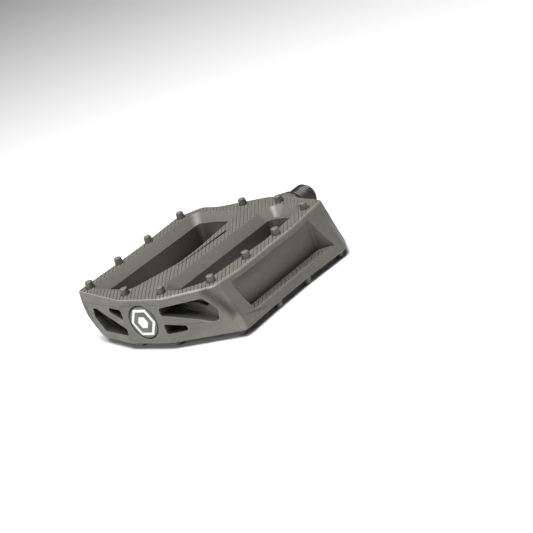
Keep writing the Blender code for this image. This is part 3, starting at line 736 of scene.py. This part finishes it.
# The ledge ribs wear the darker copy of the nylon: painted shade.
ledge_ribs = make_ribs("ledge_ribs_near", LEDGE, on_near_ledge, painted_shade_nylon)
add_with_twin(tread_ribs, "tread_ribs_lower")
add_with_twin(ledge_ribs, "ledge_ribs_far")
for ribs in (tread_ribs, ledge_ribs):
    print("ribs:", ribs.name, "with", len(ribs.data.polygons), "faces")

# %% [markdown]
# ## Smooth beads round the ribs
# A thin rounded bead frames each tread and each ledge, a mark of where the mould's inserts meet. It catches
# the light as one fine bright line, and its paler finish paints more of that highlight into its colour, on
# top of the rubbed wear. It is a small round profile swept along the outline of the flat face, so it
# follows every bend of the outline by itself.

# %% Beads
BEAD_RADIUS = 0.22 * MM
BEAD_INSET = 0.24 * MM
BEAD_SIDES = 10
LEDGE_BEAD_INSET = 0.60 * MM


def outline(name, bm, inset, only_outer):
    """The edges round the level faces, drawn in a little; the longest loop only, if asked."""
    draw_in(bm, inset)
    loops = boundary_loops(bm)
    if only_outer:
        loops = [max(loops, key=lambda loop: sum(edge.calc_length() for edge in loop))]
    kept = {edge for loop in loops for edge in loop}
    bmesh.ops.delete(bm, geom=list(bm.faces), context="FACES_ONLY")
    bmesh.ops.delete(bm, geom=[edge for edge in bm.edges if edge not in kept], context="EDGES")
    bmesh.ops.delete(bm, geom=[vert for vert in bm.verts if not vert.link_edges], context="VERTS")
    return new_piece(name, bm)


def bead_tree():
    inputs = (("Outline", "Geometry", None), ("Radius", "Float", BEAD_RADIUS), ("Finish", "Material", None))
    tree, given = new_tree("bead_on_outline", inputs, "Bead")
    path = add_node(tree, "GeometryNodeMeshToCurve", {"Mesh": given["Outline"]})
    circle = {"Resolution": BEAD_SIDES, "Radius": given["Radius"]}
    profile = add_node(tree, "GeometryNodeCurvePrimitiveCircle", circle)
    curves = {"Curve": path.outputs["Curve"], "Profile Curve": profile.outputs["Curve"]}
    sweep = add_node(tree, "GeometryNodeCurveToMesh", curves)
    end_tree(tree, sweep.outputs["Mesh"], given["Finish"])
    return tree


def face_outward(obj):
    bm = bmesh.new()
    bm.from_mesh(obj.data)
    bmesh.ops.recalc_face_normals(bm, faces=bm.faces)
    bm.to_mesh(obj.data)
    bm.free()


beads_tree = bead_tree()
tread_line = outline("tread_bead_upper", level_faces(TREAD, anywhere), BEAD_INSET, only_outer=True)
ledge_line = outline("ledge_bead_near", level_faces(LEDGE, on_near_ledge), LEDGE_BEAD_INSET, only_outer=False)
for line, twin_name in ((tread_line, "tread_bead_lower"), (ledge_line, "ledge_bead_far")):
    bead = run_tree(line, beads_tree, {"Finish": worn_and_highlight_nylon})
    face_outward(bead)
    bead.data.shade_smooth()
    add_with_twin(bead, twin_name)
    print("bead:", bead.name, "with", len(bead.data.polygons), "faces, and", twin_name)

# %% [markdown]
# ## Steel
# The axle is turned, so fine rings run round it. Blotches of a coating vary its sheen, and its edges are
# rubbed bright. The same recipe serves the blackened spindle, the ground races and balls, and the
# zinc-plated nut and washer.

# %% Turned steel
RINGS = 900.0
RING_STRETCH = (3.0, 0.15, 0.15)
BLOTCHES = 240.0
STEEL_EDGE = 0.15 * MM
STEEL_RUBBED = 0.3 * MM
RING_RELIEF = 0.008 * MM
WORN_BRIGHTER = 5.0


def steel_finish(name, pale, dark, metallic, roughness):
    """Turned steel: fine rings across the axle, blotches, and edges rubbed bright."""
    material, tree, shader = new_finish(name)
    rings = noise(tree, RINGS, 2.0, RING_STRETCH)
    blotches = noise(tree, BLOTCHES, 4.0)
    base = mixed(tree, remap(tree, blotches, 0.35, 0.65, 0.0, 1.0), dark, pale)
    patchy = remap(tree, blotches, 0.3, 0.6, 0.4, 1.0)
    rubbed = math_node(tree, "MULTIPLY", edge_mask(tree, STEEL_RUBBED, 4.0), patchy)
    worn = tuple(min(1.0, channel * WORN_BRIGHTER) for channel in pale)
    colour = mixed(tree, rubbed, base, worn)
    sheen = remap(tree, blotches, 0.3, 0.7, roughness - 0.07, roughness + 0.10)
    normal = bumped(tree, rings, RING_RELIEF, edge_normal(tree, STEEL_EDGE), 0.6)
    coat(tree, shader, colour, sheen, normal)
    shader.inputs["Metallic"].default_value = metallic
    return material


black_steel = steel_finish("blackened_steel", (0.070, 0.068, 0.062), (0.038, 0.036, 0.032), 0.75, 0.36)
bearing_steel = steel_finish("ground_bearing_steel", (0.62, 0.62, 0.61), (0.50, 0.50, 0.49), 1.0, 0.16)
bright_steel = steel_finish("zinc_plated_steel", (0.66, 0.66, 0.64), (0.50, 0.50, 0.47), 1.0, 0.30)
print("steels:", black_steel.name, bearing_steel.name, bright_steel.name)

# %% [markdown]
# ## The spindle and its thread
# The spindle is blackened in a salt bath. The frame keeps its thread as a plain cylinder. Here that cylinder
# is drawn in to the thread's root, and a ridge winds round it: a four-sided profile swept along a helix of
# 20 turns to the inch. It is left-handed, as a left pedal's must be, because a right-handed one would
# unscrew itself under the foot.

# %% The spindle drawn in to its thread's root
THREAD_TOP = 7.14 * MM
THREAD_PITCH = 1.27 * MM
THREAD_DEPTH = 0.62 * MM
THREAD_ROOT = THREAD_TOP - THREAD_DEPTH
THREAD_FROM = 1.3 * MM
THREAD_CHAMFER = 0.6 * MM
NECK_END = 0.8 * THREAD_FROM


def make_spindle():
    spindle = merged_copy("spindle", "black_spindle", black_steel)
    for vert in spindle.data.vertices:
        radius = math.hypot(vert.co.y, vert.co.z)
        if vert.co.x > NECK_END and radius > THREAD_ROOT:
            vert.co.y *= THREAD_ROOT / radius
            vert.co.z *= THREAD_ROOT / radius
    smooth_between_edges(spindle, TURNED_CREASE)
    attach(spindle, "spindle")
    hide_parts("spindle")
    return spindle


spindle = make_spindle()
print("spindle:", len(spindle.data.polygons), "faces, thread root", round(THREAD_ROOT / MM, 2), "mm")

# %% [markdown]
# The helix is made upright and then laid down along the axle. It ends before the chamfer of the spindle's
# end, so the number of turns follows from the spindle's length.

# %% The helical thread
STEPS_PER_TURN = 48
RIDGE_SIDES = 4
LIE_DOWN = (0.0, math.pi / 2, 0.0)


def thread_tree():
    inputs = (("Base", "Geometry", None), ("Radius", "Float", THREAD_ROOT), ("Ridge", "Float", THREAD_DEPTH),
              ("Pitch", "Float", THREAD_PITCH), ("Start", "Float", None), ("Turns", "Float", None),
              ("Finish", "Material", None))
    tree, given = new_tree("helical_thread", inputs, "Thread")
    helix = add_node(tree, "GeometryNodeCurveSpiral", {
        "Resolution": STEPS_PER_TURN,
        "Reverse": True,
        "Rotations": given["Turns"],
        "Start Radius": given["Radius"],
        "End Radius": given["Radius"],
        "Height": math_node(tree, "MULTIPLY", given["Turns"], given["Pitch"]),
    })
    upright = add_node(tree, "GeometryNodeSetCurveNormal", {"Curve": helix.outputs["Curve"]})
    upright.mode = "Z_UP"
    circle = {"Resolution": RIDGE_SIDES, "Radius": given["Ridge"]}
    profile = add_node(tree, "GeometryNodeCurvePrimitiveCircle", circle)
    sweep = add_node(tree, "GeometryNodeCurveToMesh", {
        "Curve": upright.outputs["Curve"],
        "Profile Curve": profile.outputs["Curve"],
        "Fill Caps": True,
    })
    laid = add_node(tree, "GeometryNodeTransform", {
        "Geometry": sweep.outputs["Mesh"],
        "Rotation": LIE_DOWN,
        "Translation": combined(tree, given["Start"], 0.0, 0.0),
    })
    end_tree(tree, laid.outputs["Geometry"], given["Finish"])
    return tree


thread_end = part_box("spindle")[1][0] - THREAD_CHAMFER
turns = (thread_end - THREAD_FROM - THREAD_DEPTH) / THREAD_PITCH
thread = run_tree(add_object("spindle_thread", bpy.data.meshes.new("spindle_thread")), thread_tree(),
                  {"Turns": turns, "Start": THREAD_FROM + THREAD_DEPTH / 2, "Finish": black_steel})
face_outward(thread)
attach(thread, "spindle")
print("thread:", round(turns, 2), "turns,", len(thread.data.polygons), "faces")

# %% [markdown]
# ## The dust cap and its printed mark
# The cap is smoother than the body, with a narrow groove round its face: the bump sinks it, and its shade is
# painted nearly black into the colour. A mark is pad-printed in white: a plain hexagon frame round a solid
# hexagon, a generic shape with no words. A hexagon's outline is where the largest of three slanted
# distances from the middle reaches one value, so a few maths nodes draw it exactly and at any size. The ink
# stands a hair proud, which the bump shows at its border.

# %% Shapes of the mark
FRAME_OUTER = 6.9 * MM
FRAME_INNER = 5.5 * MM
CORE_REACH = 2.9 * MM
CAP_GROOVE = 8.60 * MM
CAP_GROOVE_HALF = 0.35 * MM
INK_EDGE = 0.05 * MM
CAP_FRONT = body_low[0] + 0.2 * MM
FRONT_FADE = 0.1 * MM
BELOW_ZERO = -1.0


def hexagon_distance(tree, y, z):
    """Distance from the axle line to the nearest flats of a hexagon that has one flat on top."""
    half = math_node(tree, "MULTIPLY", z, math.sin(math.radians(30)))
    across = math_node(tree, "MULTIPLY", y, math.cos(math.radians(30)))
    first = math_node(tree, "ABSOLUTE", math_node(tree, "ADD", across, half))
    second = math_node(tree, "ABSOLUTE", math_node(tree, "SUBTRACT", across, half))
    upright = math_node(tree, "ABSOLUTE", z)
    return math_node(tree, "MAXIMUM", math_node(tree, "MAXIMUM", first, second), upright)


def within(tree, value, low, high, edge):
    """1 between two values, 0 outside them, with a soft edge."""
    above = remap(tree, value, low - edge, low + edge, 0.0, 1.0)
    below = remap(tree, value, high - edge, high + edge, 1.0, 0.0)
    return math_node(tree, "MULTIPLY", above, below)


def ink_and_groove(tree):
    """Masks of the printed mark and of the groove round it."""
    place = separated(tree, object_coordinates(tree))
    squares = [math_node(tree, "MULTIPLY", place[axis], place[axis]) for axis in "YZ"]
    radius = math_node(tree, "SQRT", math_node(tree, "ADD", *squares))
    hexagon = hexagon_distance(tree, place["Y"], place["Z"])
    frame_mask = within(tree, hexagon, FRAME_INNER, FRAME_OUTER, INK_EDGE)
    core_mask = within(tree, hexagon, BELOW_ZERO, CORE_REACH, INK_EDGE)
    front = remap(tree, place["X"], CAP_FRONT - FRONT_FADE, CAP_FRONT, 1.0, 0.0)
    ink = math_node(tree, "MULTIPLY", math_node(tree, "MAXIMUM", frame_mask, core_mask), front)
    groove = within(tree, radius, CAP_GROOVE - CAP_GROOVE_HALF, CAP_GROOVE + CAP_GROOVE_HALF, 2 * INK_EDGE)
    return ink, groove


# %% Cap
CAP_GRAIN = 1800.0
CAP_CLOUDS = 300.0
CAP_EDGE = 0.2 * MM
CAP_RUBBED = 0.3 * MM
CAP_RELIEF = 0.25 * MM
INK_RISE = 0.15
GRAIN_RISE = 0.05


def cap_finish():
    material, tree, shader = new_finish("printed_cap")
    ink, groove = ink_and_groove(tree)
    fine = noise(tree, CAP_GRAIN, 2.0)
    cloudy = noise(tree, CAP_CLOUDS, 3.0)
    clouds = remap(tree, cloudy, 0.35, 0.65, 0.0, 1.0)
    plastic = mixed(tree, clouds, (0.050, 0.047, 0.039), (0.082, 0.079, 0.068))
    # Painted shade: the groove is taken nearly to black, beside the bump that sinks it.
    groove_painted_shade = mixed(tree, groove, plastic, (0.006, 0.006, 0.005))
    rubbed = mixed(tree, edge_mask(tree, CAP_RUBBED, 1.5), groove_painted_shade, (0.17, 0.165, 0.15))
    thin_spots = remap(tree, fine, 0.25, 0.45, 0.35, 0.0)
    print_colour = mixed(tree, thin_spots, (0.50, 0.51, 0.525), (0.40, 0.40, 0.40))
    colour = mixed(tree, ink, rubbed, print_colour)
    sheen = remap(tree, cloudy, 0.3, 0.7, 0.38, 0.52)
    sunk = math_node(tree, "SUBTRACT", math_node(tree, "MULTIPLY", ink, INK_RISE), groove)
    relief = math_node(tree, "ADD", sunk, math_node(tree, "MULTIPLY", fine, GRAIN_RISE))
    normal = bumped(tree, relief, CAP_RELIEF, edge_normal(tree, CAP_EDGE))
    coat(tree, shader, colour, sheen, normal)
    return material


cap = merged_copy("dust_cap", "printed_dust_cap", cap_finish())
smooth_between_edges(cap, TURNED_CREASE)
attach(cap, "platform")
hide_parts("dust_cap")

# %% [markdown]
# ## Finishes of the pieces carried over from the frame
# The collar is moulded like the cap but carries no mark. Inside sit the ground races and balls, the plated
# nut and washer, and a rubber ring, grey with dust. They are rarely seen, but a buyer who opens the pedal
# finds them, so each has a finish of its own.

# %% Other finishes
DUST = 700.0
DUST_RELIEF = 0.02 * MM


def rubber_finish():
    material, tree, shader = new_finish("ring_rubber")
    dust = noise(tree, DUST, 4.0)
    dusty = remap(tree, dust, 0.45, 0.75, 0.0, 0.5)
    colour = mixed(tree, dusty, (0.020, 0.020, 0.020), (0.10, 0.10, 0.095))
    sheen = remap(tree, dust, 0.3, 0.7, 0.55, 0.8)
    normal = bumped(tree, dust, DUST_RELIEF)
    coat(tree, shader, colour, sheen, normal)
    return material


WEARS = {
    "dust_collar": collar_plastic,
    "spindle_o_ring": rubber_finish(),
    "tab_washer": bright_steel,
    "lock_nut": bright_steel,
}
redrawn = {"pedal_body", "spindle", "dust_cap"}
for name, node in frame["nodes"].items():
    if name not in redrawn:
        for slot in node.material_slots:
            slot.material = WEARS.get(name, bearing_steel)
print("carried over:", len(frame["nodes"]) - len(redrawn), "pieces")
